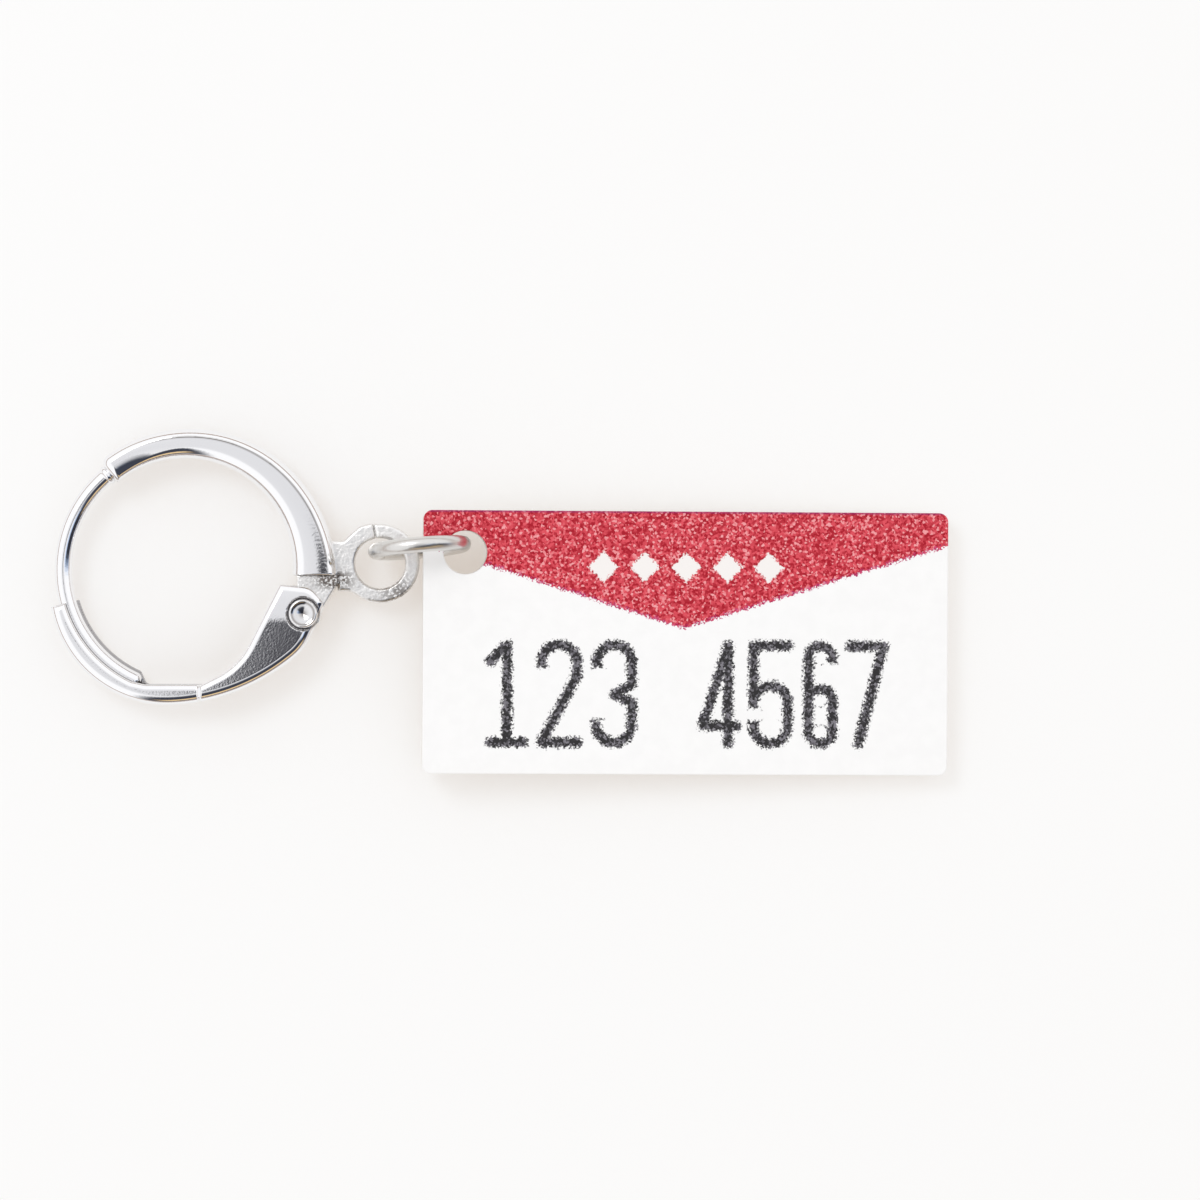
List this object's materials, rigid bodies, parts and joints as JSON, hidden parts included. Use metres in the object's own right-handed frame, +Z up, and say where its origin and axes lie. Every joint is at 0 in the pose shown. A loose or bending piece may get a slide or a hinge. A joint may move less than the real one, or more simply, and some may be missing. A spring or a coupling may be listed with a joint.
{
  "type": "stitch marker",
  "caption": "Removable stitch marker: a lever-back hoop that snaps open on a riveted hinge, with a cast loop, a jump ring and a flat oblong printed charm.",
  "frame": {"origin": "centre of the marker's bounding box, on the surface that it lies on", "axes": "+X from the hoop to the charm, along the charm's length; +Y up the charm's printed face; +Z up from the surface it lies on"},
  "size_m": [0.0434, 0.0168, 0.005],
  "materials": {
    "polished_shell": "bright plated, polished",
    "polished_wire": "bright plated, polished",
    "cast_loop": "plated over a rough soldered casting",
    "polished_lever": "bright plated, polished, slightly orange-peeled",
    "spring_steel": "plain",
    "rivet_steel": "bright plated",
    "ring_wire": "satin",
    "printed_plastic": "white, printed on the face with a grainy ink, satin"
  },
  "bodies": {
    "hoop": {"hoop_shell": "polished_shell", "ear_wire": "polished_wire", "loop_tab": "cast_loop"},
    "lever": {"latch_lever": "polished_lever", "latch_spring": "spring_steel", "hinge_rivet": "rivet_steel"},
    "ring": {"jump_ring": "ring_wire"},
    "charm": {"charm_plate": "printed_plastic"}
  },
  "joints": [
    {"name": "lever_hinge", "type": "hinge", "parent": "hoop", "child": "lever", "pos_m": [-0.00947, -0.00055, 0.00135], "axis": [0, 0, 1], "range_deg": [0, 60], "stiffness_Nm_per_rad": 0.0005, "deforming": ["latch_spring"]},
    {"name": "ring_swing", "type": "hinge", "parent": "hoop", "child": "ring", "pos_m": [-0.0044, 0.00258, 0.00135], "axis": [0.087, -0.9943, 0.061], "range_deg": [-60, 30]},
    {"name": "charm_swing", "type": "hinge", "parent": "ring", "child": "charm", "pos_m": [-0.00167, 0.00241, 0.002], "axis": [0.0534, -0.0003, 0.9986], "range_deg": [-6, 23]}
  ]
}
